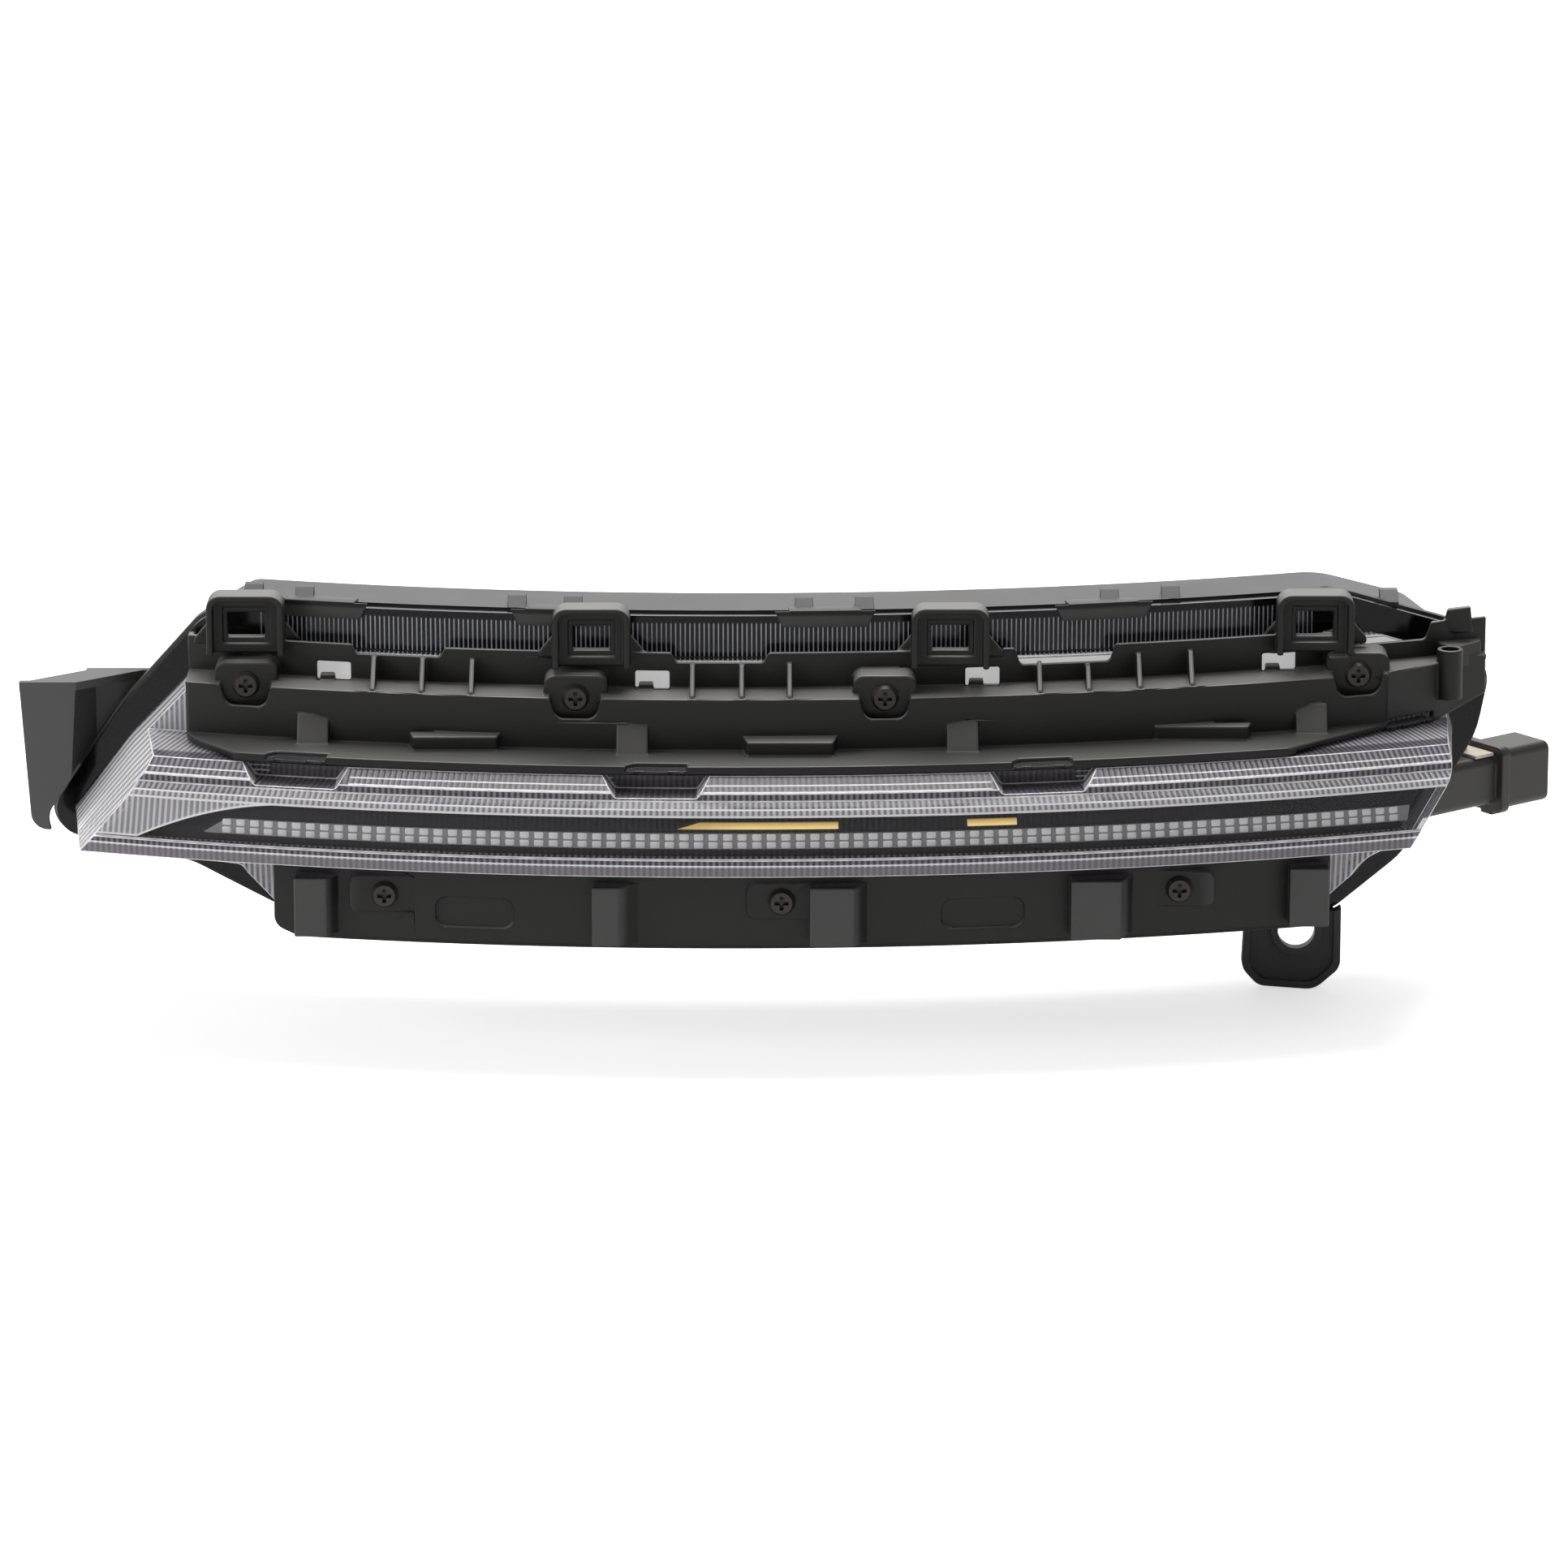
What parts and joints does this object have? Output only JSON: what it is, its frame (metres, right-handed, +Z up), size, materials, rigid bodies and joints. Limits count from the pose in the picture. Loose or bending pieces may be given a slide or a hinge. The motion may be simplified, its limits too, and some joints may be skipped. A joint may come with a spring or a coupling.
{
  "type": "driving light",
  "caption": "Long curved vehicle driving light: fluted clear lens with a lit strip in a black bezel, stepped black trim carriers above and below, rear housing with lug, bracket and plug.",
  "frame": {"origin": "centre of the outboard lug's hole on the lug's front face", "axes": "+X along the lamp to the outboard end, -Y out of the lamp's front, +Z up"},
  "size_m": [0.5429, 0.1685, 0.1499],
  "materials": {
    "housing_black": "satin",
    "lens_clear": "clear, fluted",
    "seal_black": "matte",
    "trim_black": "fine grain",
    "screw_black": "blackened",
    "bezel_black": "gloss",
    "strip_clear": "frosted",
    "amber_gold": "metallised",
    "tray_white": "satin",
    "board_green": "lacquered",
    "emitter_yellow": "phosphor",
    "sink_aluminium": "extruded",
    "panel_white": "satin",
    "connector_black": "satin",
    "pin_tin": "tinned",
    "clip_natural": "natural nylon",
    "breather_black": "matte"
  },
  "bodies": {
    "root": {"rear_housing": "housing_black", "outer_lens": "lens_clear", "lens_seal": "seal_black", "upper_trim_carrier": "trim_black", "lower_trim_carrier": "trim_black", "upper_trim_screws": "screw_black", "lower_trim_screws": "screw_black", "inner_bezel": "bezel_black", "light_strip": "strip_clear", "amber_reflector_long": "amber_gold", "amber_reflector_short": "amber_gold", "light_box": "tray_white", "led_board": "board_green", "light_emitters": "emitter_yellow", "heat_sink": "sink_aluminium", "module_screws": "screw_black", "upper_reflector": "panel_white", "connector_shroud": "connector_black", "connector_pins": "pin_tin", "connector_clip": "clip_natural", "breather_caps": "breather_black"}
  },
  "joints": []
}
